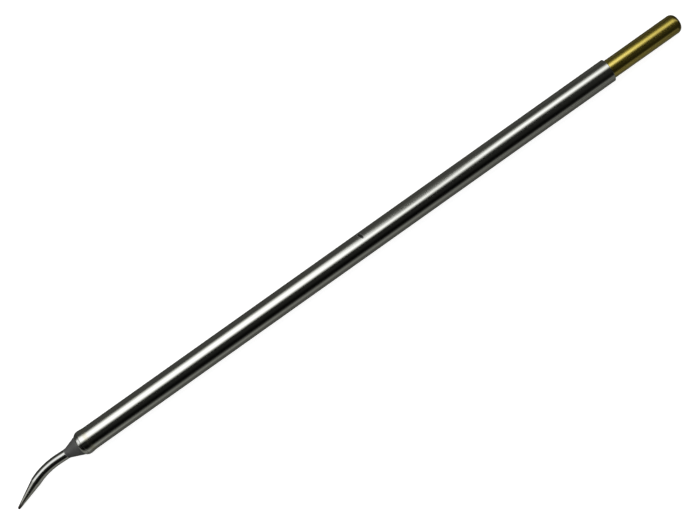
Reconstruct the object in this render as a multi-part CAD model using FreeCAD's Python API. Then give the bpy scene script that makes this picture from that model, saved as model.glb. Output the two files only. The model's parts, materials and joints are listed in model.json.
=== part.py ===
import FreeCAD, Part
import math
import os

# Soldering cartridge with a bent conical tip, lying on a surface. Millimetres and degrees.
# Its tube runs along X, with the tip at -X and the contact pin at +X. The sizes below are
# measured from the front end of the tube, and the finished solids are then moved so that
# the origin is at the bottom centre of the whole cartridge.

# Barrel tube
barrel_radius = 2.38
barrel_wall = 0.25
barrel_length = 121.6
barrel_edge_break = 0.08

# Front end of the barrel tube, belled out over the pressed plug
lip_rise = 0.12
lip_round = 0.10
lip_land = 0.20
lip_slope = 1.10

# Nick in the side of the barrel tube
nick_from_front = 65.1
nick_angle = 43.0
nick_depth = 0.10
nick_ball_radius = 0.65

# Working end of the tip. The cone and the neck lean back a little before the bend.
tip_end_radius = 0.27
tip_taper_angle = 6.2
bend_angle = 25.0
bend_radius = 13.0
lean_angle = 3.2
bend_from_cone = 4.67

# Neck, cone and shoulder of the tip
neck_radius = 1.00
neck_fillet = 2.0
cone_angle = 20.9
cone_base_radius = 2.07
cone_root = 0.20
shoulder_length = 0.85
shoulder_step = 0.03
shoulder_crown = 0.065
shoulder_drop = 0.03
seam_bevel = 0.08

# Plug and spigot of the tip, inside the tube
plug_length = 2.6
plug_chamfer = 0.15
spigot_radius = 1.00
spigot_recess = 0.10
spigot_chamfer = 0.15

# Heater, from the spigot outwards
heater_sleeve_wall = 0.23
liner_wall = 0.10
wire_width = 0.30
wire_thickness = 0.20
coil_pitch = 0.60
coil_turns = 12
coil_end_room = 0.45
cover_wall = 0.12
washer_thickness = 0.50

# Leads of the coil and their joint with the centre rod
earth_lead_depth = 0.80
lead_straight = 0.60
lead_slant = 1.80
lead_depth = 1.20
joint_radius = 1.30
joint_length = 3.40
joint_lead_radius = 0.90
joint_chamfer = 0.15

# Centre rod and the beads that hold it
rod_radius = 0.60
rod_depth = 2.00
bead_count = 4
bead_length = 3.00
bead_chamfer = 0.30

# Contact pin and the bush that holds it
pin_radius = 1.95
pin_reach = 16.0
pin_corner = 1.20
pin_depth = 4.00
pin_seat_radius = 1.75
shank_radius = 1.10
shank_length = 7.00
shank_bore_depth = 4.50
bush_recess = 0.20
shank_showing = 1.00

# Clearances
press_gap = 0.02
slip_gap = 0.02
wire_gap = 0.03

# Sizes that follow
lip_radius = barrel_radius + lip_rise
bore_radius = barrel_radius - barrel_wall
lip_bore_radius = lip_radius - barrel_wall
lip_end = lip_land + lip_slope
inner_radius = bore_radius - press_gap
collar_radius = lip_bore_radius - press_gap
heater_start = plug_length + washer_thickness
heater_length = coil_turns * coil_pitch + 2 * coil_end_room
heater_end = heater_start + heater_length
heater_sleeve_inner = spigot_radius + slip_gap
heater_sleeve_outer = heater_sleeve_inner + heater_sleeve_wall
liner_inner = heater_sleeve_outer + slip_gap
liner_outer = liner_inner + liner_wall
coil_radius = liner_outer + slip_gap + wire_thickness / 2
cover_inner = coil_radius + wire_thickness / 2 + slip_gap
cover_outer = cover_inner + cover_wall
lead_hole_radius = math.hypot(wire_width, wire_thickness) / 2 + wire_gap
shield_inner = cover_outer + slip_gap
coil_start = heater_start + coil_end_room
coil_end = heater_end - coil_end_room
rear_washer_end = heater_end + washer_thickness
spigot_end = rear_washer_end - spigot_recess
lead_turn = rear_washer_end + lead_straight
lead_at_joint = lead_turn + lead_slant
joint_start = lead_at_joint
joint_end = joint_start + joint_length
rod_start = joint_end - rod_depth
pin_shoulder = barrel_length - pin_depth
shank_start = pin_shoulder - shank_length
rod_end = shank_start + shank_bore_depth
bush_start = shank_start + shank_showing
bush_end = barrel_length - bush_recess
pin_end = barrel_length + pin_reach


def vec(x, y, z=0.0):
    return FreeCAD.Vector(x, y, z)


X_AXIS = vec(1, 0)
ORIGIN = vec(0, 0)


def polyline(points):
    """Straight edges through the points (x, r)."""
    return [Part.LineSegment(vec(*a), vec(*b)).toShape() for a, b in zip(points, points[1:])]


def arc(start, middle, end):
    """Round edge from start to end by way of middle, each (x, r)."""
    return Part.Arc(vec(*start), vec(*middle), vec(*end)).toShape()


def turned(edges):
    """Solid turned about the X axis from the closed outline of edges."""
    face = Part.Face(Part.Wire(edges))
    return face.revolve(ORIGIN, X_AXIS, 360)


def sleeve(start, end, inner, outer):
    """Plain tube along the X axis."""
    corners = [(start, inner), (start, outer), (end, outer), (end, inner), (start, inner)]
    return turned(polyline(corners))


def rod_between(a, b, radius):
    """Round bar from point a to point b."""
    run = b - a
    return Part.makeCylinder(radius, run.Length, a, run)


def lead_point(x, offset):
    """Point of a lead: on the lower side of the tube's axis, offset from it."""
    return vec(x, 0, -offset)


def taper_to_tangent():
    """Length of the taper, from the neck's radius to where the round end touches it."""
    taper = math.radians(tip_taper_angle)
    return (neck_radius - tip_end_radius * math.cos(taper)) / math.tan(taper)


def taper_to_centre():
    """Length from the start of the taper to the centre of the round end."""
    return taper_to_tangent() - tip_end_radius * math.sin(math.radians(tip_taper_angle))


def tip_end_place():
    """Centre of the rounded tip end as (distance in front of the tube, offset from its axis)."""
    turn = math.radians(bend_angle)
    lean = math.radians(lean_angle)
    reach = shoulder_length + bend_from_cone * math.cos(lean)
    reach += bend_radius * (math.sin(turn) + math.sin(lean)) + taper_to_centre() * math.cos(turn)
    offset = bend_radius * (math.cos(lean) - math.cos(turn)) - bend_from_cone * math.sin(lean)
    offset += taper_to_centre() * math.sin(turn)
    return reach, offset


def roll_angle():
    """Turn of the bend about the tube's axis, so that lip and tip end both rest on the surface."""
    reach, offset = tip_end_place()
    return math.asin((lip_radius - tip_end_radius) / offset)


def heading(angle):
    """Direction in the plane of the bend: straight forward at 0, and to the bend's side at 90."""
    turn = math.radians(angle)
    side = vec(0, -math.cos(roll_angle()), -math.sin(roll_angle()))
    return X_AXIS * -math.cos(turn) + side * math.sin(turn)


def bend_start():
    """Centre of the neck where the bend begins."""
    return cone_foot() + heading(-lean_angle) * bend_from_cone


def bend_centre():
    return bend_start() + heading(90 - lean_angle) * bend_radius


def bend_end():
    return bend_centre() - heading(90 + bend_angle) * bend_radius


def bend_axis():
    """Direction that the bend turns about, square to its plane."""
    return heading(0).cross(heading(90))


def cone_foot():
    return vec(-shoulder_length, 0)


def cone_and_neck():
    """Neck, its fillet and the cone, turned about an axis that leans back at the cone's foot."""
    cone = math.radians(cone_angle)
    corner = -shoulder_length - (cone_base_radius - neck_radius) / math.tan(cone)
    neck_end = -shoulder_length - bend_from_cone
    tangent = neck_fillet * math.tan(cone / 2)
    first = (corner - tangent, neck_radius)
    middle_x = corner - tangent + neck_fillet * math.sin(cone / 2)
    middle_r = neck_radius + neck_fillet * (1 - math.cos(cone / 2))
    last = (corner + tangent * math.cos(cone), neck_radius + tangent * math.sin(cone))
    root = -shoulder_length + cone_root
    edges = polyline([(root, 0), (neck_end, 0), (neck_end, neck_radius), first])
    edges.append(arc(first, (middle_x, middle_r), last))
    edges.extend(polyline([last, (-shoulder_length, cone_base_radius), (root, cone_base_radius), (root, 0)]))
    nose = turned(edges)
    nose.rotate(cone_foot(), bend_axis(), -lean_angle)
    return nose


def shoulder_outline():
    """Outline of the crowned bright shoulder, and of the bevel at the seam with the tube."""
    foot = (-shoulder_length, cone_base_radius + shoulder_step)
    top = (-seam_bevel, lip_radius - shoulder_drop)
    middle_x = (foot[0] + top[0]) / 2 - shoulder_crown / 2
    middle_r = (foot[1] + top[1]) / 2 + shoulder_crown
    edges = polyline([(-shoulder_length, 0), foot])
    edges.append(arc(foot, (middle_x, middle_r), top))
    edges.extend(polyline([top, (0, top[1] - seam_bevel)]))
    return edges


def plug_outline():
    """Outline of the pressed plug, which fills the belled end of the tube, and of the spigot."""
    return polyline([
        (0, lip_radius - shoulder_drop - seam_bevel),
        (0, collar_radius),
        (lip_land, collar_radius),
        (lip_end, inner_radius),
        (plug_length - plug_chamfer, inner_radius),
        (plug_length, inner_radius - plug_chamfer),
        (plug_length, spigot_radius),
        (spigot_end - spigot_chamfer, spigot_radius),
        (spigot_end, spigot_radius - spigot_chamfer),
        (spigot_end, 0),
        (-shoulder_length, 0),
    ])


def tip_bend():
    """Round bend in front of the neck, swept about its own centre."""
    section = Part.Face(Part.Wire(Part.makeCircle(neck_radius, bend_start(), heading(-lean_angle))))
    return section.revolve(bend_centre(), bend_axis(), lean_angle + bend_angle)


def tip_taper():
    """Tapered working end with its round point, along the direction that the bend leaves in."""
    out = heading(bend_angle)
    touch_radius = tip_end_radius * math.cos(math.radians(tip_taper_angle))
    cone = Part.makeCone(neck_radius, touch_radius, taper_to_tangent(), bend_end(), out)
    point = Part.makeSphere(tip_end_radius, bend_end() + out * taper_to_centre())
    return cone.fuse(point)


def earth_hole():
    """Blind hole in the rear face of the plug, for the coil's front lead."""
    mouth = lead_point(plug_length, coil_radius)
    floor = lead_point(plug_length - earth_lead_depth, coil_radius)
    return rod_between(floor, mouth, lead_hole_radius)


def solder_tip():
    """Point, bend, neck and cone on one leaning line, and shoulder, plug and spigot on the tube's."""
    body = turned(shoulder_outline() + plug_outline())
    whole = body.multiFuse([cone_and_neck(), tip_bend(), tip_taper()])
    return whole.cut(earth_hole()).removeSplitter()


def barrel_tube():
    """Thin tube with a rounded, belled lip at the front and a nick in its side."""
    round_start = (0, lip_radius - lip_round)
    round_end = (lip_round, lip_radius)
    turn = lip_round * math.sqrt(0.5)
    round_middle = (lip_round - turn, lip_radius - lip_round + turn)
    edges = [arc(round_start, round_middle, round_end)]
    edges.extend(polyline([
        round_end,
        (lip_land, lip_radius),
        (lip_end, barrel_radius),
        (barrel_length - barrel_edge_break, barrel_radius),
        (barrel_length, barrel_radius - barrel_edge_break),
        (barrel_length, bore_radius),
        (lip_end, bore_radius),
        (lip_land, lip_bore_radius),
        (0, lip_bore_radius),
        round_start,
    ]))
    side = math.radians(nick_angle)
    reach = barrel_radius - nick_depth + nick_ball_radius
    nick = vec(nick_from_front, reach * math.cos(side), reach * math.sin(side))
    return turned(edges).cut(Part.makeSphere(nick_ball_radius, nick))


def heater_sleeve():
    return sleeve(heater_start, heater_end, heater_sleeve_inner, heater_sleeve_outer)


def coil_liner():
    return sleeve(heater_start, heater_end, liner_inner, liner_outer)


def coil_cover():
    return sleeve(heater_start, heater_end, cover_inner, cover_outer)


def flux_shield():
    return sleeve(heater_start, heater_end, shield_inner, inner_radius)


def washer(start):
    """Ceramic washer on the spigot, with a hole that a lead of the coil passes through."""
    end = start + washer_thickness
    ring = sleeve(start, end, spigot_radius + slip_gap, inner_radius)
    hole = rod_between(lead_point(start, coil_radius), lead_point(end, coil_radius), lead_hole_radius)
    return ring.cut(hole)


def coil_winding():
    """One layer of flat wire: its section swept along a helix about the X axis."""
    path = Part.makeHelix(coil_pitch, coil_turns * coil_pitch, coil_radius)
    low = coil_radius - wire_thickness / 2
    high = coil_radius + wire_thickness / 2
    half = wire_width / 2
    corners = [vec(low, 0, -half), vec(high, 0, -half), vec(high, 0, half), vec(low, 0, half)]
    section = Part.makePolygon(corners + corners[:1])
    winding = path.makePipeShell([section], True, True)
    winding.rotate(ORIGIN, vec(0, 1, 0), 90)
    winding.translate(X_AXIS * coil_start)
    return winding


def flat_lead(route):
    """Flat wire on the lower side of the tube's axis, through the points (x, offset)."""
    half = wire_thickness / 2
    near = [lead_point(x, offset - half) for x, offset in route]
    far = [lead_point(x, offset + half) for x, offset in reversed(route)]
    side = Part.Face(Part.makePolygon(near + far + near[:1]))
    lead = side.extrude(vec(0, wire_width))
    lead.translate(vec(0, -wire_width / 2))
    return lead


def heater_coil():
    """Winding with its front lead to the plug and its rear lead to the joint."""
    half = wire_width / 2
    front = flat_lead([
        (plug_length - earth_lead_depth, coil_radius),
        (coil_start + half, coil_radius),
    ])
    rear = flat_lead([
        (coil_end - half, coil_radius),
        (lead_turn, coil_radius),
        (lead_at_joint, joint_lead_radius),
        (joint_start + lead_depth, joint_lead_radius),
    ])
    return coil_winding().multiFuse([front, rear])


def lead_joint():
    """Metal barrel with a blind hole for the coil's lead in front and one for the rod behind."""
    barrel = turned(polyline([
        (joint_start, 0),
        (joint_start, joint_radius - joint_chamfer),
        (joint_start + joint_chamfer, joint_radius),
        (joint_end - joint_chamfer, joint_radius),
        (joint_end, joint_radius - joint_chamfer),
        (joint_end, 0),
        (joint_start, 0),
    ]))
    lead_hole = rod_between(
        lead_point(joint_start, joint_lead_radius),
        lead_point(joint_start + lead_depth, joint_lead_radius),
        lead_hole_radius,
    )
    rod_hole = rod_between(vec(rod_start, 0), vec(joint_end, 0), rod_radius + slip_gap)
    return barrel.cut(lead_hole).cut(rod_hole)


def centre_rod():
    return rod_between(vec(rod_start, 0), vec(rod_end, 0), rod_radius)


def spacer_bead(number):
    """Insulating bead on the rod, one of an even row between the joint and the bush."""
    pitch = (bush_start - joint_end) / (bead_count + 1)
    start = joint_end + number * pitch - bead_length / 2
    end = start + bead_length
    bore = rod_radius + slip_gap
    return turned(polyline([
        (start, bore),
        (start, inner_radius - bead_chamfer),
        (start + bead_chamfer, inner_radius),
        (end - bead_chamfer, inner_radius),
        (end, inner_radius - bead_chamfer),
        (end, bore),
        (start, bore),
    ]))


def contact_bush():
    """Insulating bush: a thick front part round the shank and a thin skirt round the pin."""
    shank_bore = shank_radius + slip_gap
    pin_bore = pin_seat_radius + slip_gap
    return turned(polyline([
        (bush_start, shank_bore),
        (bush_start, inner_radius),
        (bush_end, inner_radius),
        (bush_end, pin_bore),
        (pin_shoulder, pin_bore),
        (pin_shoulder, shank_bore),
        (bush_start, shank_bore),
    ]))


def contact_pin():
    """Round-ended pin, stepped down inside the tube to its seat and a shank with a blind bore."""
    corner_x = pin_end - pin_corner
    corner_r = pin_radius - pin_corner
    turn = pin_corner * math.sqrt(0.5)
    bore = rod_radius + slip_gap
    edges = polyline([
        (pin_end, 0),
        (rod_end, 0),
        (rod_end, bore),
        (shank_start, bore),
        (shank_start, shank_radius),
        (pin_shoulder, shank_radius),
        (pin_shoulder, pin_seat_radius),
        (barrel_length, pin_seat_radius),
        (barrel_length, pin_radius),
        (corner_x, pin_radius),
    ])
    edges.append(arc((corner_x, pin_radius), (corner_x + turn, corner_r + turn), (pin_end, corner_r)))
    edges.extend(polyline([(pin_end, corner_r), (pin_end, 0)]))
    return turned(edges)


def to_part_origin():
    """Move from the tube's front end to the bottom centre of the whole cartridge."""
    reach, offset = tip_end_place()
    front_reach = reach + tip_end_radius
    side_reach = offset * math.cos(roll_angle()) + tip_end_radius
    middle_x = (pin_end - front_reach) / 2
    middle_y = (lip_radius - side_reach) / 2
    return vec(-middle_x, -middle_y, lip_radius)


def nodes():
    """Every piece by the name of its node."""
    pieces = {
        "solder_tip": solder_tip(),
        "barrel_tube": barrel_tube(),
        "front_washer": washer(plug_length),
        "heater_sleeve": heater_sleeve(),
        "coil_liner": coil_liner(),
        "heater_coil": heater_coil(),
        "coil_cover": coil_cover(),
        "flux_shield": flux_shield(),
        "rear_washer": washer(heater_end),
        "lead_joint": lead_joint(),
        "centre_rod": centre_rod(),
        "contact_bush": contact_bush(),
        "contact_pin": contact_pin(),
    }
    for number in range(1, bead_count + 1):
        pieces[f"spacer_bead_{number}"] = spacer_bead(number)
    return pieces


os.makedirs("parts", exist_ok=True)
for name, piece in nodes().items():
    piece.translate(to_part_origin())
    piece.exportStep(f"parts/{name}.step")
    print(name, "valid" if piece.isValid() else "NOT VALID", round(piece.Volume, 3), "mm3")
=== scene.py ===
# %% [markdown]
# # A self-heating soldering cartridge
#
# This is one slim part: a bent, tinned point on a dull grey cone, a long polished steel tube, and
# a gold-plated contact pin at the back. A heater is closed in behind the point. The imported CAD
# model is loaded first as a fixed frame, and everything below is placed in that frame, in metres.

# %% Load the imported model
import json
import math
import bpy
import numpy as np
from mathutils import Matrix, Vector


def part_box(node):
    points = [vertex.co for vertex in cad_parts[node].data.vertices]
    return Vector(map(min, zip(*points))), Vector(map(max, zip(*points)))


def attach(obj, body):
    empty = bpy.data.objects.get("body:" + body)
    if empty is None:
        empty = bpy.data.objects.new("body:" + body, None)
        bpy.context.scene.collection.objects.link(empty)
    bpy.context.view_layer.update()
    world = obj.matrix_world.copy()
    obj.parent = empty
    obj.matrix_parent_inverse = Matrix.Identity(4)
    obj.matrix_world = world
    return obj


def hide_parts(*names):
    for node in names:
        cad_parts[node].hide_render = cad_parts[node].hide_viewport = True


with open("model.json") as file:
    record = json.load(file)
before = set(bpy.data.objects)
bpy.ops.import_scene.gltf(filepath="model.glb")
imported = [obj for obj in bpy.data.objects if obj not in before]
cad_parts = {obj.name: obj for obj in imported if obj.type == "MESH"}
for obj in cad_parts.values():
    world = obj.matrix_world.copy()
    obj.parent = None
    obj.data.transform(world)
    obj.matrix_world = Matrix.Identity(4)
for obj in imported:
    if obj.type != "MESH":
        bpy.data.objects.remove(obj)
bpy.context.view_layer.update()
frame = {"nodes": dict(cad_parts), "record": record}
MM = 0.001

# %% [markdown]
# The camera hangs straight above the cartridge and close to it, so the tube runs across the
# picture as a diagonal and its two end faces just turn away from the lens. A camera that looks
# straight down has its picture's right and up directions in the floor plane, so one angle, the
# slope of the tube in the picture, sets how it is turned. The distance and the lens belong
# together: the lens is what makes the tube 25 pixels thick at that distance.

# %% Camera
TUBE_SLOPE = math.radians(35.36)
CAMERA_OVER_AXIS = 245.7 * MM
CAMERA_POINT = (0.935 * MM, -0.97 * MM)
AXIS_HEIGHT = 2.5 * MM
IMAGE_WIDTH = 700
SCALE_AT_AXIS = 5.29 / MM
SENSOR = 36.0

camera_data = bpy.data.cameras.new("overhead_camera")
camera_data.sensor_width = SENSOR
camera_data.lens = SENSOR * SCALE_AT_AXIS * CAMERA_OVER_AXIS / IMAGE_WIDTH
camera_data.clip_start = 10 * MM
camera_data.clip_end = 50.0
camera = bpy.data.objects.new("overhead_camera", camera_data)
camera.location = (*CAMERA_POINT, AXIS_HEIGHT + CAMERA_OVER_AXIS)
camera.rotation_euler = (0, 0, -TUBE_SLOPE)
bpy.context.scene.collection.objects.link(camera)
bpy.context.scene.camera = camera
bpy.context.scene.view_settings.view_transform = "Standard"
print("lens", round(camera_data.lens, 2), "mm, camera height", round(camera.location.z, 4), "m")

# %% [markdown]
# Nearly every visible piece here was turned on a lathe, so it is a row of circles along a line.
# One function makes them all: it takes the middle of each circle, two directions that span its
# plane, and its radius, and skins over them. A radius may also differ round the circle, which is
# how a nick gets into the tube. Spinning a profile in the editor would give the same shape, but
# arrays keep every point exact and can follow the bend of the point as well.

# %% Skin over a row of circles
AROUND = 128
SHARP_ANGLE = math.radians(28)


def skin_faces(rings, columns, closed):
    """Corner numbers of the four-sided faces between neighbouring rings: column c is joined to
    the next column, the last one to the first, and with closed the last ring to the first."""
    ring = np.arange(rings if closed else rings - 1)[:, None]
    column = np.arange(columns)[None, :]
    following = (ring + 1) % rings
    beside = (column + 1) % columns
    corners = [ring * columns + column, ring * columns + beside,
               following * columns + beside, following * columns + column]
    return np.stack(np.broadcast_arrays(*corners), axis=-1).reshape(-1, 4)


def skin(name, centres, sides, ups, radii, turns=None, closed=False):
    """Surface over a row of circles. The point at turn a of circle i is
    centre_i + radius_i * (cos a * side_i + sin a * up_i), with side x up along the row.
    Unless closed, the first and the last circle have shrunk to a point, and are made as one."""
    turns = np.linspace(0, 2 * np.pi, AROUND, endpoint=False) if turns is None else turns
    radii = np.broadcast_to(np.reshape(radii, (len(centres), -1)), (len(centres), len(turns)))
    spokes = np.cos(turns)[None, :, None] * sides[:, None, :] + np.sin(turns)[None, :, None] * ups[:, None, :]
    grid = centres[:, None, :] + radii[..., None] * spokes
    columns = len(turns)
    if closed:
        points = grid.reshape(-1, 3)
        faces = skin_faces(len(centres), columns, True).tolist()
    else:
        inner = grid[1:-1].reshape(-1, 3)
        points = np.vstack([inner, centres[:1], centres[-1:]])
        here = np.arange(columns)
        beside = (here + 1) % columns
        last_ring = len(inner) - columns
        first_fan = np.stack([np.full(columns, len(inner)), beside, here], axis=-1)
        last_fan = np.stack([np.full(columns, len(inner) + 1), last_ring + here, last_ring + beside], axis=-1)
        faces = skin_faces(len(centres) - 2, columns, False).tolist() + first_fan.tolist() + last_fan.tolist()
    mesh = bpy.data.meshes.new(name)
    mesh.from_pydata(points.tolist(), [], faces)
    mesh.shade_smooth()
    mesh.set_sharp_from_angle(angle=SHARP_ANGLE)
    piece = bpy.data.objects.new(name, mesh)
    bpy.context.scene.collection.objects.link(piece)
    print(name, len(points), "points", len(faces), "faces")
    return piece


def arc_points(start, end, bulge, count):
    """Points of a round corner in a profile, ends included. The circle goes through start and end,
    and its middle stands off the line between them by bulge, to the left of the way that line
    runs. With h half the line, its radius r is (h^2 + bulge^2) / (2 * bulge), and the points are
    centre + left * r * cos t + along * |r| * sin t."""
    start, end = np.array(start, float), np.array(end, float)
    half = np.hypot(*(end - start)) / 2
    along = (end - start) / (2 * half)
    left = np.array([-along[1], along[0]])
    radius = (half ** 2 + bulge ** 2) / (2 * bulge)
    centre = (start + end) / 2 + left * (bulge - radius)
    reach = math.asin(half / abs(radius))
    sweep = np.linspace(-reach, reach, count)[:, None]
    return centre + left * radius * np.cos(sweep) + along * abs(radius) * np.sin(sweep)


def rows_between(first, last, count):
    """Rows of a profile on a straight line from first to last, evenly spaced, without the first."""
    return np.linspace(first, last, count + 1)[1:]


# %% [markdown]
# The tube is drawn stainless steel with a wall of a quarter of a millimetre. Its front edge is
# rounded and belled out where the plug of the point was pressed in, and there is a small nick in
# its side half way along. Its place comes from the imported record: the mount called barrel gives
# the axis. The profile runs round the wall, outside first and back along the bore, so it closes
# on itself and needs no end caps.

# %% Where the tube is
mounts = {mount["name"]: mount for mount in frame["record"]["mounts"]}
AXIS_Y, AXIS_Z = mounts["barrel"]["pos_m"][1:]
FRONT_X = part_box("barrel_tube")[0].x
REAR_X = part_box("barrel_tube")[1].x
TUBE_RADIUS = mounts["barrel"]["dims"]["r_mm"] * MM
TUBE_LENGTH = REAR_X - FRONT_X
SIDE = np.array([0.0, 1.0, 0.0])
UP = np.array([0.0, 0.0, 1.0])
print("tube from", round(FRONT_X, 5), "to", round(REAR_X, 5), "m, axis at y", AXIS_Y, "z", AXIS_Z)


def turned(name, profile, turns=None, dent=None, closed=False):
    """Piece turned about the tube's axis. profile is a row of (distance behind the tube's front
    face, radius), and dent, if given, returns how much of each radius is missing."""
    profile = np.array(profile, float)
    turns = np.linspace(0, 2 * np.pi, AROUND, endpoint=False) if turns is None else turns
    count = len(profile)
    centres = np.column_stack([FRONT_X + profile[:, 0], np.full(count, AXIS_Y), np.full(count, AXIS_Z)])
    radii = np.repeat(profile[:, 1:], len(turns), axis=1)
    if dent:
        radii = radii - dent(profile[:, :1], turns[None, :], radii)
    return skin(name, centres, np.tile(SIDE, (count, 1)), np.tile(UP, (count, 1)), radii, turns, closed)


# %% The tube's profile
WALL = 0.25 * MM
LIP_RISE = 0.12 * MM
LIP_ROUND = 0.10 * MM
LIP_LAND = 0.20 * MM
LIP_END = 1.30 * MM
FOOT_HALF = 0.25 * MM
FOOT_RISE = 0.25 * LIP_RISE
FOOT_DIP = -0.006 * MM
ROUND_ROWS = 7
EDGE_BREAK = 0.08 * MM
NICK_PLACE = 65.1 * MM
NICK_TURN = math.radians(43)
NICK_DEPTH = 0.10 * MM
NICK_BALL = 0.65 * MM
NICK_HALF_LENGTH = 0.45 * MM
NICK_HALF_TURN = 0.19
NICK_CLEAR_TURN = 0.24
NICK_ROWS = 25
PLAIN_TURNS = AROUND - 12
LIP_RADIUS = TUBE_RADIUS + LIP_RISE
BORE = TUBE_RADIUS - WALL
QUARTER_BULGE = (1 - math.sqrt(0.5)) * LIP_ROUND


def nick_missing(along, turns, radii):
    """Ball-shaped nick. A spoke at turn a meets the ball at
    reach * cos(a') - root(ball^2 - x^2 - (reach * sin a')^2), with a' and x measured from the
    nick; what the spoke has beyond that is missing. The bore is out of the ball's reach."""
    reach = TUBE_RADIUS - NICK_DEPTH + NICK_BALL
    off = turns - NICK_TURN
    inside = NICK_BALL ** 2 - (along - NICK_PLACE) ** 2 - (reach * np.sin(off)) ** 2
    near = (inside > 0) & (np.cos(off) > 0)
    hit = reach * np.cos(off) - np.sqrt(np.where(near, inside, 0))
    return np.where(near, np.clip(radii - hit, 0, NICK_DEPTH), 0)


nick_rows = NICK_PLACE + np.linspace(-NICK_HALF_LENGTH, NICK_HALF_LENGTH, NICK_ROWS)
nick_turns = NICK_TURN + np.linspace(-NICK_HALF_TURN, NICK_HALF_TURN, NICK_ROWS)
plain_turns = np.linspace(NICK_TURN + NICK_CLEAR_TURN, NICK_TURN - NICK_CLEAR_TURN + 2 * np.pi, PLAIN_TURNS)
tube_turns = np.concatenate([nick_turns, plain_turns])
lip_arc = arc_points((0, LIP_RADIUS - LIP_ROUND), (LIP_ROUND, LIP_RADIUS), QUARTER_BULGE, ROUND_ROWS)
foot_arc = arc_points((LIP_END - FOOT_HALF, TUBE_RADIUS + FOOT_RISE), (LIP_END + FOOT_HALF, TUBE_RADIUS),
                      FOOT_DIP, ROUND_ROWS)
outside = [*lip_arc, (LIP_LAND, LIP_RADIUS), *foot_arc]
outside += [(x, TUBE_RADIUS) for x in nick_rows]
outside += [(TUBE_LENGTH - EDGE_BREAK, TUBE_RADIUS), (TUBE_LENGTH, TUBE_RADIUS - EDGE_BREAK)]
bore = [(TUBE_LENGTH, BORE), (LIP_END, BORE), (LIP_LAND, LIP_RADIUS - WALL), (0, LIP_RADIUS - WALL)]
steel_tube = turned("steel_tube", outside + bore, tube_turns, nick_missing, closed=True)
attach(steel_tube, "root")
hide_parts("barrel_tube")

# %% [markdown]
# The contact pin is turned from brass and gold-plated. Outside the tube it is a plain cylinder
# with a well-rounded end; inside it steps down twice, and its shank is bored for the centre rod.
# Its profile starts at the middle of the rounded end and stops at the bottom of the bore, so both
# ends shrink to a point.

# %% The pin's profile
PIN_RADIUS = mounts["contact_pin"]["dims"]["r_mm"] * MM
PIN_REACH = 16.0 * MM
PIN_CORNER = 1.2 * MM
PIN_EDGE = 0.05 * MM
SEAT_RADIUS = 1.75 * MM
SEAT_DEPTH = 4.0 * MM
SHANK_RADIUS = 1.1 * MM
SHANK_LENGTH = 7.0 * MM
ROD_BORE = 0.62 * MM
ROD_BORE_DEPTH = 4.5 * MM
PIN_END_ROWS = 17
pin_end = TUBE_LENGTH + PIN_REACH
shoulder = TUBE_LENGTH - SEAT_DEPTH
shank_start = shoulder - SHANK_LENGTH
rod_end = shank_start + ROD_BORE_DEPTH
corner_bulge = (1 - math.sqrt(0.5)) * PIN_CORNER
end_arc = arc_points((pin_end - PIN_CORNER, PIN_RADIUS), (pin_end, PIN_RADIUS - PIN_CORNER),
                     corner_bulge, PIN_END_ROWS)
pin_profile = [(rod_end, 0), (rod_end, ROD_BORE), (shank_start, ROD_BORE), (shank_start, SHANK_RADIUS),
               (shoulder, SHANK_RADIUS), (shoulder, SEAT_RADIUS), (TUBE_LENGTH, SEAT_RADIUS),
               (TUBE_LENGTH, PIN_RADIUS - PIN_EDGE), (TUBE_LENGTH + PIN_EDGE, PIN_RADIUS),
               *end_arc, (pin_end, 0)]
gold_pin = turned("gold_pin", pin_profile)
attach(gold_pin, "root")
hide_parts("contact_pin")

# %% [markdown]
# The point is one copper bar, turned, bent and then plated. From its rounded end it widens along
# a straight taper, goes round the bend at the neck's full thickness, and runs straight into the
# cone. The cone and its neck aren't quite in line with the tube: the bending has pushed them back
# by three degrees. So the line that the circles follow is a straight, an arc, a straight that
# leans back, and the tube's own axis. The bend lies in a plane that is rolled over until the end
# of the point rests on the bench.

# %% The line that the point follows
END_RADIUS = 0.27 * MM
TAPER = math.radians(6.2)
BEND = math.radians(25)
BEND_RADIUS = 13.0 * MM
LEAN = math.radians(3.2)
BEND_FROM_CONE = 4.67 * MM
NECK_RADIUS = 1.0 * MM
SHOULDER = 0.85 * MM
SAME_PLACE = 1e-6 * MM
ball_to_taper = (NECK_RADIUS - END_RADIUS * math.cos(TAPER)) / math.tan(TAPER) - END_RADIUS * math.sin(TAPER)
straight = ball_to_taper + END_RADIUS
bend_length = (BEND + LEAN) * BEND_RADIUS
foot_distance = straight + bend_length + BEND_FROM_CONE
sideways = BEND_RADIUS * (math.cos(LEAN) - math.cos(BEND)) + ball_to_taper * math.sin(BEND)
sideways -= BEND_FROM_CONE * math.sin(LEAN)
roll = math.asin((LIP_RADIUS - END_RADIUS) / sideways)
FORWARD = np.array([-1.0, 0.0, 0.0])
BEND_SIDE = np.array([0.0, -math.cos(roll), -math.sin(roll)])
cone_foot = np.array([FRONT_X - SHOULDER, AXIS_Y, AXIS_Z])


def heading(turn):
    """Direction at a turn from straight forward to the bend's side: forward cos + side sin."""
    return FORWARD * np.cos(turn) + BEND_SIDE * np.sin(turn)


bend_centre = cone_foot + heading(-LEAN) * BEND_FROM_CONE + heading(math.pi / 2 - LEAN) * BEND_RADIUS
print("bend plane rolled", round(math.degrees(roll), 2), "degrees below level")


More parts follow.
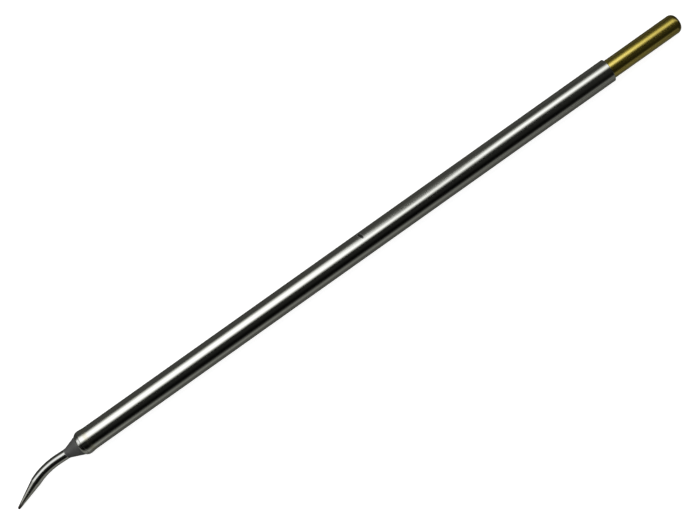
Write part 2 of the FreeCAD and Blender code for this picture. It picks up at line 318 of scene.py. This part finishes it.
def point_line(distance):
    """Middle, direction and side of the point's line at a distance from its rounded end. Round
    the bend, with a the heading there, the middle is bend_centre - R * heading(a + 90 degrees).
    In front of the bend and behind it the line goes on straight, and behind the cone's foot it is
    the tube's axis."""
    turn = np.clip(BEND - (distance - straight) / BEND_RADIUS, -LEAN, BEND)[:, None]
    before = np.maximum(straight - distance, 0)[:, None]
    behind = np.maximum(distance - straight - bend_length, 0)[:, None]
    middle = bend_centre - BEND_RADIUS * heading(turn + math.pi / 2) + heading(turn) * (before - behind)
    on_axis = (distance > foot_distance - SAME_PLACE)[:, None]
    middle = np.where(on_axis, cone_foot - FORWARD * (distance[:, None] - foot_distance), middle)
    turn = np.where(on_axis, 0, turn)
    return middle, -heading(turn), heading(turn + math.pi / 2)


# %% The point's profile
CONE = math.radians(20.9)
CONE_BASE = 2.07 * MM
NECK_FILLET = 2.0 * MM
SHOULDER_STEP = 0.03 * MM
SHOULDER_CROWN = 0.086 * MM
SHOULDER_DROP = 0.03 * MM
BEVEL = 0.08 * MM
PRESS_GAP = 0.02 * MM
PLUG = 2.6 * MM
SPIGOT_RADIUS = 1.0 * MM
SPIGOT_END = 11.6 * MM
CHAMFER = 0.15 * MM
CONE_ROOM = 0.14 * MM
BALL_ROWS = 12
TAPER_ROWS = 23
BEND_ROWS = 32
CONE_ROWS = 7
CROWN_ROWS = 9

ball_turn = np.linspace(0, math.pi / 2 - TAPER, BALL_ROWS)
ball = np.column_stack([END_RADIUS * (1 - np.cos(ball_turn)), END_RADIUS * np.sin(ball_turn)])
taper_rows = rows_between(ball[-1], (straight, NECK_RADIUS), TAPER_ROWS)
bend_rows = rows_between((straight, NECK_RADIUS), (straight + bend_length, NECK_RADIUS), BEND_ROWS)
corner_x = -(CONE_BASE - NECK_RADIUS) / math.tan(CONE)
tangent = NECK_FILLET * math.tan(CONE / 2)
fillet_bulge = -NECK_FILLET * (1 - math.cos(CONE / 2))
fillet = arc_points((corner_x - tangent, NECK_RADIUS),
                    (corner_x + tangent * math.cos(CONE), NECK_RADIUS + tangent * math.sin(CONE)),
                    fillet_bulge, CROWN_ROWS)
cone_rows = rows_between(fillet[-1], (-CONE_ROOM, CONE_BASE - CONE_ROOM * math.tan(CONE)), CONE_ROWS)
shoulder_top = LIP_RADIUS - SHOULDER_DROP
crown = arc_points((0, CONE_BASE + SHOULDER_STEP), (SHOULDER - BEVEL, shoulder_top),
                   SHOULDER_CROWN, CROWN_ROWS)
seam = [(0, shoulder_top - BEVEL), (0, BORE + LIP_RISE - PRESS_GAP), (LIP_LAND, BORE + LIP_RISE - PRESS_GAP),
        (LIP_END, BORE - PRESS_GAP), (PLUG - CHAMFER, BORE - PRESS_GAP), (PLUG, BORE - PRESS_GAP - CHAMFER),
        (PLUG, SPIGOT_RADIUS), (SPIGOT_END - CHAMFER, SPIGOT_RADIUS),
        (SPIGOT_END, SPIGOT_RADIUS - CHAMFER), (SPIGOT_END, 0)]
leaning = np.vstack([fillet, cone_rows, [(0, CONE_BASE)]])
in_line = np.vstack([crown, np.array(seam) + [SHOULDER, 0]])
point_profile = np.vstack([ball, taper_rows, bend_rows, np.vstack([leaning, in_line]) + [foot_distance, 0]])
foot_row = len(ball) + len(taper_rows) + len(bend_rows) + len(leaning) - 1

# %% [markdown]
# The leaning cone meets the flat face of the shoulder at a slant. On the bend's side its foot
# stands free, and on the other side it is sunk in, so its edge there comes nearer to the axis.

# %% The point's skin
point_turns = np.linspace(0, 2 * np.pi, AROUND, endpoint=False)
point_radii = np.repeat(point_profile[:, 1:], AROUND, axis=1)
sunk = np.maximum(0, -np.cos(point_turns))
point_radii[foot_row] = CONE_BASE / (1 + sunk * math.tan(LEAN) * math.tan(CONE))
middles, directions, sides = point_line(point_profile[:, 0])
bent_point = skin("bent_point", middles, sides, np.cross(directions, sides), point_radii)
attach(bent_point, "root")
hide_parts("solder_tip")
POINT_X = middles[0, 0]
print("end of the point at", [round(c / MM, 3) for c in middles[0]], "mm")

# %% [markdown]
# The finishes are all worked out by shader nodes. To write their sums as sums, one small class
# wraps a node's output and adds a Math node for each sign, and one method adds any other node:
# its type, its settings, then the values or links of its sockets.

# %% Shader sums
class Varying:
    """A number, colour or direction that changes over a surface: one output of a shader node."""

    def __init__(self, finish, socket):
        self.finish = finish
        self.socket = socket

    def _sum(self, operation, first, second):
        return self.finish.node("ShaderNodeMath", {"operation": operation}, {0: first, 1: second})

    def __add__(self, other):
        return self._sum("ADD", self, other)

    def __radd__(self, other):
        return self._sum("ADD", other, self)

    def __sub__(self, other):
        return self._sum("SUBTRACT", self, other)

    def __rsub__(self, other):
        return self._sum("SUBTRACT", other, self)

    def __mul__(self, other):
        return self._sum("MULTIPLY", self, other)

    def __rmul__(self, other):
        return self._sum("MULTIPLY", other, self)


class Finish:
    """A material built round one Principled shader."""

    def __init__(self, name, **constants):
        self.material = bpy.data.materials.new(name)
        self.material.use_nodes = True
        self.tree = self.material.node_tree
        self.shader = next(n for n in self.tree.nodes if n.type == "BSDF_PRINCIPLED")
        self.put(**constants)

    def node(self, kind, settings=None, sockets=None, output=0):
        """Adds a node, sets it up, fills its sockets, and returns one of its outputs."""
        made = self.tree.nodes.new(kind)
        for setting, value in (settings or {}).items():
            setattr(made, setting, value)
        for socket, value in (sockets or {}).items():
            self._fill(made.inputs[socket], value)
        return Varying(self, made.outputs[output])

    def _fill(self, socket, value):
        if isinstance(value, Varying):
            self.tree.links.new(value.socket, socket)
        else:
            socket.default_value = value

    def put(self, **values):
        """Fills sockets of the Principled shader: base_color is its Base Color, and so on."""
        for name, value in values.items():
            words = name.replace("_", " ").title().replace("Ior", "IOR")
            self._fill(self.shader.inputs[words], value)

    def place(self):
        """The point's own place in the part, in metres."""
        return self.node("ShaderNodeTexCoord", output="Object")

    def along(self):
        """Distance along the tube, in metres."""
        return self.node("ShaderNodeSeparateXYZ", {}, {0: self.place()}, "X")

    def streaks(self, along, across, detail=3.0):
        """Noise from 0 to 1, in so many grains a metre along the tube and across it."""
        stretched = self.node("ShaderNodeMapping", {},
                              {"Vector": self.place(), "Scale": (along, across, across)})
        return self.node("ShaderNodeTexNoise", {},
                         {"Vector": stretched, "Scale": 1.0, "Detail": detail}, "Fac")

    def step(self, value, start, end):
        """0 before start, 1 after end, and smooth between them."""
        return self.node("ShaderNodeMapRange", {"interpolation_type": "SMOOTHSTEP"},
                         {"Value": value, "From Min": start, "From Max": end, "To Min": 0.0, "To Max": 1.0})

    def blend(self, amount, first, second):
        """The first colour where amount is 0, the second where it is 1."""
        return self.node("ShaderNodeMix", {"data_type": "RGBA"},
                         {0: amount, 6: self._opaque(first), 7: self._opaque(second)}, 2)

    def _opaque(self, colour):
        return colour if isinstance(colour, Varying) else (*colour, 1)

    def relief(self, height, distance, strength=1.0):
        """A surface whose grain stands up by height times distance."""
        return self.node("ShaderNodeBump", {}, {"Height": height, "Distance": distance, "Strength": strength})


def dress(finish, *pieces):
    """Gives the pieces this finish in place of what they had."""
    for piece in pieces:
        piece.data.materials.clear()
        piece.data.materials.append(finish.material)
    print(finish.material.name, "on", [piece.name for piece in pieces])


# %% [markdown]
# Drawn tube is bright along its length: the die leaves very fine lines that run with the axis, so
# a reflection stays sharp-edged lengthwise and softens a little across. The grain here is noise
# that is squeezed across the tube and stretched along it. It moves the roughness and the colour by
# a few percent and stands up by a fraction of a micrometre. Near the seam the colour goes a faint
# straw in a ring. The nick is coloured near-black, which is painted shade in the dent. That painted
# shade is a distance from the nick's middle, measured in a frame that is slanted and squeezed, so
# that its edge is a slanting oval.

# %% Drawn stainless steel
TINT_RISE = (FRONT_X + 0.75 * MM, FRONT_X + 1.05 * MM)
TINT_FALL = (FRONT_X + 1.45 * MM, FRONT_X + 2.0 * MM)
steel = Finish("drawn_steel", metallic=1.0)
fine = steel.streaks(60, 9000)
broad = steel.streaks(25, 1400)
cloudy = steel.streaks(160, 320)
x = steel.along()
tint = steel.step(x, *TINT_RISE) * (1 - steel.step(x, *TINT_FALL))
bright = steel.blend(broad, (0.61, 0.61, 0.60), (0.69, 0.69, 0.68))
straw = steel.blend(tint * 0.45, bright, (0.60, 0.56, 0.43))

# %% Painted shade in the nick
NICK_SHADE_SLANT = 0.27
NICK_SHADE_SQUEEZE = 0.44
NICK_SHADE_SHIFT = 0.05 * MM
NICK_SHADE_EDGE = (0.30 * MM, 0.46 * MM)
nick_spot = (FRONT_X + NICK_PLACE, AXIS_Y + TUBE_RADIUS * math.cos(NICK_TURN),
             AXIS_Z + TUBE_RADIUS * math.sin(NICK_TURN))
off_nick = steel.node("ShaderNodeVectorMath", {"operation": "SUBTRACT"}, {0: steel.place(), 1: nick_spot})
lengthwise = steel.node("ShaderNodeSeparateXYZ", {}, {0: off_nick}, "X")
around_way = (0, -math.sin(NICK_TURN), math.cos(NICK_TURN))
around = steel.node("ShaderNodeVectorMath", {"operation": "DOT_PRODUCT"},
                    {0: off_nick, 1: around_way}, "Value")
slanted = steel.node("ShaderNodeCombineXYZ", {},
                     {0: lengthwise - NICK_SHADE_SLANT * around, 1: around * NICK_SHADE_SQUEEZE - NICK_SHADE_SHIFT})
from_nick = steel.node("ShaderNodeVectorMath", {"operation": "LENGTH"}, {0: slanted}, "Value")
painted_nick_shade = 1 - steel.step(from_nick, *NICK_SHADE_EDGE)
# The nick's near-black colour and its weaker metal look are painted shade in the dent.
steel.put(base_color=steel.blend(painted_nick_shade, straw, (0.012, 0.012, 0.009)), metallic=1 - 0.8 * painted_nick_shade)
steel.put(roughness=0.12 + 0.04 * fine + 0.05 * cloudy + 0.06 * tint + 0.2 * painted_nick_shade)
steel.put(normal=steel.relief(fine, 0.0004 * MM))
dress(steel, steel_tube)

# %% [markdown]
# The plating on the point is in three states. The point itself and the neck are tinned: bright,
# a little yellow and dull towards the end, and dark right at the end, where flux has burnt on. The
# cone is plated so that solder won't climb it, and is dull dark grey. The shoulder is bright again.
# All three are one surface, so they are one finish whose colour, roughness and metal look change
# with the place along the tube.

# %% Tinned, grey and bright plating
plating = Finish("point_plating")
x = plating.along()
CONE_FRONT = FRONT_X - 3.90 * MM
CONE_FOOT = FRONT_X - SHOULDER
WAVE = 0.25 * MM
FRONT_SOFT = 0.12 * MM
FOOT_SOFT = 0.03 * MM
AGED_FADES = (POINT_X + 1.5 * MM, POINT_X + 7.5 * MM)
BURNT_FADES = (POINT_X + 0.60 * MM, POINT_X + 1.90 * MM)
edge_wave = plating.streaks(900, 900, 2.0)
waved = x + (edge_wave - 0.5) * WAVE
behind_neck = plating.step(waved, CONE_FRONT - FRONT_SOFT, CONE_FRONT + FRONT_SOFT)
past_cone = plating.step(x, CONE_FOOT - FOOT_SOFT, CONE_FOOT + FOOT_SOFT)
dull = behind_neck * (1 - past_cone)
toward_end = 1 - plating.step(x, *AGED_FADES)
burnt = 1 - plating.step(waved, *BURNT_FADES)
grain = plating.streaks(5200, 5200, 4.0)
patches = plating.streaks(700, 700, 3.0)
tinned = plating.blend(patches, (0.46, 0.46, 0.46), (0.54, 0.54, 0.54))
aged = plating.blend(toward_end * 0.6, tinned, (0.42, 0.41, 0.36))
grey = plating.blend(0.45 * grain + 0.55 * patches, (0.036, 0.036, 0.036), (0.128, 0.128, 0.127))
plating.put(base_color=plating.blend(burnt, plating.blend(dull, aged, grey), (0.035, 0.030, 0.026)))
plating.put(metallic=1 - 0.65 * dull - 0.35 * burnt)
plating.put(roughness=0.15 + 0.05 * patches + 0.10 * toward_end + 0.42 * dull + 0.22 * burnt)
plating.put(normal=plating.relief(grain * (0.04 + dull * 0.96 + burnt * 0.6), 0.006 * MM))
dress(plating, bent_point)

# %% [markdown]
# The gold plating is thin and bright over turned brass. Pushing the cartridge into its socket has
# rubbed it lengthwise, so its reflections are softer than the steel's, and where fingers and the
# socket touch it, it goes a shade browner. Gold colours what it mirrors, but the photograph's
# highlight is paler than the rest of the pin. A thin clear coat, like the grease of handling, adds
# that second reflection without colour.

# %% Rubbed gold plating
gold = Finish("rubbed_gold", metallic=1.0, coat_weight=1.0, coat_roughness=0.12, coat_ior=1.8)
rubbing = gold.streaks(90, 5200)
handling = gold.streaks(420, 900)
warm = gold.blend(rubbing, (0.78, 0.63, 0.07), (0.88, 0.74, 0.12))
gold.put(base_color=gold.blend(handling * 0.5, warm, (0.72, 0.46, 0.04)))
gold.put(roughness=0.17 + 0.07 * rubbing + 0.10 * handling)
gold.put(normal=gold.relief(rubbing, 0.0004 * MM))
dress(gold, gold_pin)

# %% [markdown]
# The pieces inside the tube keep their CAD shapes and get the finish of their own stuff, because
# the part may be opened up or cut in half in another scene. Turned pieces show the rings of the
# lathe, which run round the axis and so repeat along it.

# %% Lathe rings
def rings(finish, pitch):
    """Wave from 0 to 1 that repeats each pitch along the tube, uneven as lathe marks are."""
    wobble = finish.streaks(2500, 300, 2.0)
    place = finish.along() + wobble * (pitch * 0.4)
    turn = finish.node("ShaderNodeMath", {"operation": "SINE"}, {0: place * (2 * math.pi / pitch)})
    return turn * 0.5 + 0.5


# %% Magnetic alloy sleeves
alloy = Finish("magnetic_alloy_turned", metallic=1.0)
alloy_rings = rings(alloy, 0.12 * MM)
alloy_cloud = alloy.streaks(900, 900)
alloy.put(base_color=alloy.blend(alloy_cloud, (0.36, 0.35, 0.345), (0.52, 0.51, 0.50)))
alloy.put(roughness=0.34 + 0.14 * alloy_cloud)
alloy.put(normal=alloy.relief(alloy_rings, 0.004 * MM, 0.5))
dress(alloy, frame["nodes"]["heater_sleeve"], frame["nodes"]["flux_shield"])

# %% Copper wire
copper = Finish("heater_wire_copper", metallic=1.0)
copper_draw = copper.streaks(4000, 4000)
copper_tarnish = copper.streaks(600, 600)
tarnished = copper.blend(copper_tarnish, (0.80, 0.43, 0.29), (0.55, 0.26, 0.17))
copper.put(base_color=tarnished)
copper.put(roughness=0.24 + 0.16 * copper_draw)
copper.put(normal=copper.relief(copper_draw, 0.003 * MM, 0.4))
dress(copper, frame["nodes"]["heater_coil"])

# %% Brass rod and joint
brass = Finish("drawn_brass", metallic=1.0)
brass_draw = brass.streaks(120, 6000)
brass_cloud = brass.streaks(500, 500)
brass.put(base_color=brass.blend(brass_cloud, (0.76, 0.60, 0.30), (0.62, 0.46, 0.22)))
brass.put(roughness=0.26 + 0.12 * brass_draw)
brass.put(normal=brass.relief(brass_draw, 0.002 * MM, 0.5))
dress(brass, frame["nodes"]["centre_rod"], frame["nodes"]["lead_joint"])

# %% Fired ceramic washers
ceramic = Finish("fired_ceramic", specular_ior_level=0.35)
ceramic_grain = ceramic.streaks(9000, 9000, 5.0)
ceramic_specks = ceramic.step(ceramic.streaks(3600, 3600), 0.66, 0.72)
cream = ceramic.blend(ceramic_grain, (0.72, 0.69, 0.62), (0.84, 0.82, 0.76))
ceramic.put(base_color=ceramic.blend(ceramic_specks * 0.5, cream, (0.45, 0.38, 0.30)))
ceramic.put(roughness=0.55 + 0.2 * ceramic_grain)
ceramic.put(normal=ceramic.relief(ceramic_grain, 0.006 * MM))
dress(ceramic, frame["nodes"]["front_washer"], frame["nodes"]["rear_washer"])

# %% Amber insulating film
film = Finish("amber_film", specular_ior_level=0.5)
film_laps = rings(film, 0.9 * MM)
film_cloud = film.streaks(1200, 1200)
amber = film.blend(film_cloud, (0.42, 0.17, 0.030), (0.56, 0.27, 0.055))
film.put(base_color=film.blend(film_laps * 0.35, amber, (0.26, 0.09, 0.015)))
film.put(roughness=0.22 + 0.10 * film_cloud)
film.put(normal=film.relief(film_laps, 0.003 * MM, 0.5))
dress(film, frame["nodes"]["coil_liner"], frame["nodes"]["coil_cover"])

# %% White high-temperature plastic
plastic = Finish("white_turned_plastic", specular_ior_level=0.4)
plastic_rings = rings(plastic, 0.10 * MM)
plastic_cloud = plastic.streaks(700, 700)
plastic.put(base_color=plastic.blend(plastic_cloud, (0.78, 0.775, 0.75), (0.87, 0.865, 0.845)))
plastic.put(roughness=0.42 + 0.12 * plastic_cloud)
plastic.put(normal=plastic.relief(plastic_rings, 0.003 * MM, 0.6))
bead_nodes = [node for name, node in frame["nodes"].items() if name.startswith("spacer_bead")]
dress(plastic, frame["nodes"]["contact_bush"], *bead_nodes)

# %% [markdown]
# Polished metal has no look of its own: it shows the room. In the photograph the tube mirrors one
# long bright panel on its upper left and a dark studio all round, and the page behind it is white.
# So the stage is a white floor, a lamp and a plain fill from the whole sky for what is dull, and a
# dark studio with its panel that only reflections see. The studio takes no light away from the
# floor. Painting the bands onto the metal would look right from one side only, while this follows
# every camera and every bend.

# %% Floor
FLOOR_DROP = 0.02 * MM
FLOOR_HALF = 4.0
FLOOR_GLOW = 0.86
FLOOR_COLOUR = (0.5, 0.5, 0.5, 1)


def background_rays(tree):
    """1 for rays from the camera and for those that metal or glass passes on, otherwise 0."""
    light_path = tree.nodes.new("ShaderNodeLightPath")
    total = light_path.outputs["Is Camera Ray"]
    for name in ("Is Glossy Ray", "Is Transmission Ray"):
        either = tree.nodes.new("ShaderNodeMath")
        either.operation = "MAXIMUM"
        tree.links.new(total, either.inputs[0])
        tree.links.new(light_path.outputs[name], either.inputs[1])
        total = either.outputs[0]
    return total


corners = np.array([[-1, -1, 0], [1, -1, 0], [1, 1, 0], [-1, 1, 0]], float) * FLOOR_HALF - [0, 0, FLOOR_DROP]
floor_mesh = bpy.data.meshes.new("white_floor")
floor_mesh.from_pydata(corners.tolist(), [], [(0, 1, 2, 3)])
floor = bpy.data.objects.new("white_floor", floor_mesh)
bpy.context.scene.collection.objects.link(floor)
paper = Finish("white_page", base_color=FLOOR_COLOUR, roughness=1.0, specular_ior_level=0.0,
               emission_color=(1, 1, 1, 1))
glow = Varying(paper, background_rays(paper.tree))
paper.put(emission_strength=glow * FLOOR_GLOW)
dress(paper, floor)

# %% Fill from the sky
SKY_FILL = 0.35
world = bpy.data.worlds.new("plain_sky")
world.use_nodes = True
bpy.context.scene.world = world
sky = next(n for n in world.node_tree.nodes if n.type == "BACKGROUND")
sky.inputs["Color"].default_value = (1, 1, 1, 1)
level = world.node_tree.nodes.new("ShaderNodeMapRange")
level.inputs["To Min"].default_value = SKY_FILL
level.inputs["To Max"].default_value = 1.0
world.node_tree.links.new(background_rays(world.node_tree), level.inputs["Value"])
world.node_tree.links.new(level.outputs[0], sky.inputs["Strength"])

# %% [markdown]
# The softbox is an area lamp that runs along the tube, further from it at the back. It lights only
# what is dull, such as the cone and the floor, and casts the faint shadow. Metal doesn't mirror it:
# an area lamp has hard edges and one brightness, and the photograph's highlight has neither. The
# panel that metal mirrors in its place is part of the dark studio below.

# %% Softbox
LAMP_FRONT = np.array([-0.122, 0.1505, 0.2022])
LAMP_REAR = np.array([0.157, 0.233, 0.2964])
LAMP_WIDTH = 0.25
LAMP_OVERHANG = (0.14, 0.02)
LAMP_WATTS = 0.62

run = LAMP_REAR - LAMP_FRONT
run_length = np.linalg.norm(run)
long_way = run / run_length
start = LAMP_FRONT - long_way * LAMP_OVERHANG[0]
end = LAMP_REAR + long_way * LAMP_OVERHANG[1]
lamp_middle = (start + end) / 2
away = lamp_middle - np.array([lamp_middle[0], AXIS_Y, AXIS_Z])
backward = away - long_way * away.dot(long_way)
backward = backward / np.linalg.norm(backward)
across = np.cross(backward, long_way)
lamp_data = bpy.data.lights.new("softbox", "AREA")
lamp_data.shape = "RECTANGLE"
lamp_data.size = np.linalg.norm(end - start)
lamp_data.size_y = LAMP_WIDTH
lamp_data.energy = LAMP_WATTS
lamp = bpy.data.objects.new("softbox", lamp_data)
lamp.visible_camera = False
lamp.visible_glossy = False
bpy.context.scene.collection.objects.link(lamp)
turned_to = np.eye(4)
turned_to[:3, 0] = long_way
turned_to[:3, 1] = across
turned_to[:3, 2] = backward
turned_to[:3, 3] = lamp_middle
lamp.matrix_world = Matrix(turned_to.tolist())
print("softbox", round(lamp_data.size, 3), "by", LAMP_WIDTH, "m")

# %% [markdown]
# The dark studio is half a ball over the floor, closed by a flat sheet of the same glowing surface
# lying on the floor. All of it is painted reflection: it gives off its own light, worked out for each
# spot from how far along the tube the spot is and how many degrees it lies from straight above the
# tube. Degrees count up towards the side that the tip bends to. A cylinder turns a mirrored direction
# by twice the angle of its surface, so what hangs at 60 degrees shows at 30 degrees round the tube,
# and each band on the tube is a band of the ball.

# %% Dark studio that the metal mirrors
STUDIO_RADIUS = 0.62
STUDIO_LEVELS = 24
STUDIO_COLUMNS = 64
MAT_DROP = 0.01 * MM


def studio_shell(name, levels, columns):
    """Half a ball, seen from inside: at height angle h and turn a the point is
    radius * (cos h cos a, cos h sin a, sin h). The first ring shrinks to the middle of the floor,
    which closes it with a flat sheet."""
    height = np.linspace(0, np.pi / 2, levels)[:, None]
    turn = np.linspace(0, 2 * np.pi, columns, endpoint=False)[None, :]
    ball = np.stack(np.broadcast_arrays(np.cos(height) * np.cos(turn), np.cos(height) * np.sin(turn),
                                        np.sin(height)), axis=-1)[:-1] * STUDIO_RADIUS
    points = np.vstack([ball.reshape(-1, 3), [[0, 0, STUDIO_RADIUS], [0, 0, 0]]]) - [0, 0, MAT_DROP]
    here = np.arange(columns)
    beside = (here + 1) % columns
    top = (levels - 2) * columns
    crown_fan = np.stack([np.full(columns, len(points) - 2), top + beside, top + here], axis=-1)
    floor_fan = np.stack([np.full(columns, len(points) - 1), here, beside], axis=-1)
    faces = skin_faces(levels - 1, columns, False)[:, ::-1].tolist() + crown_fan.tolist() + floor_fan.tolist()
    mesh = bpy.data.meshes.new(name)
    mesh.from_pydata(points.tolist(), [], faces)
    shell = bpy.data.objects.new(name, mesh)
    bpy.context.scene.collection.objects.link(shell)
    return shell


studio = studio_shell("dark_studio", STUDIO_LEVELS, STUDIO_COLUMNS)
studio.visible_camera = False
studio.visible_diffuse = False
studio.visible_shadow = False
# A black surface whose grey is all glow: painted reflection that only metal sees.
studio_glow = Finish("painted_reflection_studio", base_color=(0, 0, 0, 1), roughness=1.0, specular_ior_level=0.0,
              emission_strength=1.0)
along = studio_glow.along()
front = 0 - along
aside = 0 - studio_glow.node("ShaderNodeSeparateXYZ", {}, {0: studio_glow.place()}, "Y")
height = studio_glow.node("ShaderNodeSeparateXYZ", {}, {0: studio_glow.place()}, "Z")
degrees = studio_glow.node("ShaderNodeMath", {"operation": "ARCTAN2"}, {0: aside, 1: height}) * (180 / math.pi)


def change(value, amount, start, end):
    """0 before start, amount after end, and smooth between them."""
    return amount * studio_glow.step(value, start, end)


def between(value, rise, fall):
    """1 between two ramps and 0 outside them. A ramp is the pair of its start and its end."""
    return studio_glow.step(value, *rise) * (1 - studio_glow.step(value, *fall))


# %% [markdown]
# The panel is the bright band of the tube, a painted reflection in the studio's glow. Its two edges
# are angles that change along the tube, as the photograph's band does: it is cut by a painted grey
# card half way along, narrows towards the back, and swings over at the pin. The edges are soft,
# because a real panel is dimmer towards its rim. The panel is also dimmer at both far ends, where the
# bent tip and the pin look. Edges are in degrees.
# A change is an amount and the two places between which it comes in, which are metres along the
# tube or degrees, and a ramp is two such places.

# %% Bright panel
PANEL_GLOW = 1.65
OUTER_EDGE = -61.5
OUTER_SOFT = (-14, 18)
OUTER_AT_REAR = (5, 0, 0.1)
OUTER_AT_TIP = (-30, 0.45, 0.56)
OUTER_AT_PAINTED_CARD = 22
PAINTED_CARD_RISE = (0.004, 0.036)
PAINTED_CARD_FALL = (0.074, 0.115)
INNER_EDGE = -10
INNER_SOFT = (-15, 9)
INNER_AT_REAR = (-11.5, 0.06, 0.13)
BOTH_AT_PIN = (8, 0.19, 0.225)
DIM_AT_TIP = (-0.5, 0.50, 0.575)
DIM_AT_PIN = (-0.65, 0.19, 0.275)
# The grey card is painted into the glow: a band that narrows the panel half way along the tube.
painted_card = between(along, PAINTED_CARD_RISE, PAINTED_CARD_FALL)
at_pin = change(along, *BOTH_AT_PIN)
outer = OUTER_EDGE + change(along, *OUTER_AT_REAR) + OUTER_AT_PAINTED_CARD * painted_card
outer = outer + change(front, *OUTER_AT_TIP) + at_pin
inner = INNER_EDGE + change(along, *INNER_AT_REAR) + at_pin
panel = between(degrees, [outer + soft for soft in OUTER_SOFT], [inner + soft for soft in INNER_SOFT])
panel = panel * (1 + change(front, *DIM_AT_TIP)) * (1 + change(along, *DIM_AT_PIN))

# %% [markdown]
# The walls glow grey, and paler towards the ground on the side away from the panel, which makes the
# grey bands at the tube's edges. The floor sheet is darker right beside the tube, a painted shadow of
# the tube, lighter beside the tip, and nearly black beyond the pin. A black flag is painted into the
# glow between the panel and the pale wall and makes the black band: its near edge follows the panel,
# and it is deepest on its far side.

# %% Where the painted flag and the floor sheet are
PAINTED_FLAG_NEAR_SOFT = (-6, 8)
PAINTED_FLAG_FAR = (57, 82)
SHEET_TO_WALL = (0.01, 0.05)
# The black flag is painted into the glow as a band of degrees; it is no piece of its own.
past_panel = studio_glow.step(degrees, *[inner + soft for soft in PAINTED_FLAG_NEAR_SOFT])
past_painted_flag = studio_glow.step(degrees, *PAINTED_FLAG_FAR)
painted_flag = past_panel * (1 - past_painted_flag)
on_sheet = 1 - studio_glow.step(height, *SHEET_TO_WALL)

# %% Grey walls and floor sheet
WALL_GREY = 0.066
PALER_TO_GROUND = (0.145, 55, 86)
PAINTED_TUBE_SHADOW = 0.55
BESIDE_TUBE = (0.004, 0.040)
DIM_BEYOND_PIN = (-0.85, 0.080, 0.088)
TIP_GREY = 0.16
TIP_RISE = (0.058, 0.068)
TIP_FALL = (0.085, 0.12)
BESIDE_TIP = (0.0015, 0.0035)
wall = WALL_GREY + change(degrees, *PALER_TO_GROUND)
# Painted shadow of the tube on the floor sheet: the sheet's glow is dimmed right beside it.
wall = wall * (1 - PAINTED_TUBE_SHADOW * (1 - studio_glow.step(aside, *BESIDE_TUBE)) * on_sheet * past_painted_flag)
wall = wall * (1 + change(along, *DIM_BEYOND_PIN) * on_sheet)
wall = wall + TIP_GREY * between(front, TIP_RISE, TIP_FALL) * studio_glow.step(aside, *BESIDE_TIP) * on_sheet

# %% Changes of the walls along the tube
PAINTED_CARD_GREY = 0.05
PAINTED_CARD_FOOT = (-92, -82)
PAINTED_CARD_TOP = (-60, -50)
LIFT_IN_FRONT = 0.9
LIFT_RISE = (0.17, 0.24)
LIFT_FALL = (0.30, 0.38)
DIM_FAR_FRONT = (-0.7, 0.42, 0.55)
DIM_FAR_REAR = (-0.92, 0.27, 0.36)
REAR_SIDE = (-60, -20)
# Painted grey card: a grey band in the walls' glow, half way along the tube.
wall = wall + PAINTED_CARD_GREY * painted_card * between(degrees, PAINTED_CARD_FOOT, PAINTED_CARD_TOP)
wall = wall * (1 + LIFT_IN_FRONT * between(front, LIFT_RISE, LIFT_FALL) * past_painted_flag)
wall = wall * (1 + change(front, *DIM_FAR_FRONT) * past_panel)
wall = wall * (1 + change(along, *DIM_FAR_REAR) * studio_glow.step(degrees, *REAR_SIDE))

# %% Painted black flag, and all of it together
PAINTED_FLAG_GREY = 0.015
PAINTED_FLAG_DEEPER = (-0.0135, 20, 45)
PAINTED_FLAG_AT_PIN = (0.014, 0.20, 0.225)
RED_SHARE = 0.99
BLUE_SHARE = 0.88
BLUE_OF_PANEL = 0.1
# The painted flag's own dark glow.
black = PAINTED_FLAG_GREY + change(degrees, *PAINTED_FLAG_DEEPER) + change(along, *PAINTED_FLAG_AT_PIN)
shade = wall * (1 - painted_flag) + black * painted_flag
shade = shade * (1 - panel) + PANEL_GLOW * panel
olive = {0: shade * RED_SHARE, 1: shade, 2: shade * (BLUE_SHARE + BLUE_OF_PANEL * panel)}
studio_glow.put(emission_color=studio_glow.node("ShaderNodeCombineColor", {}, olive))
dress(studio_glow, studio)
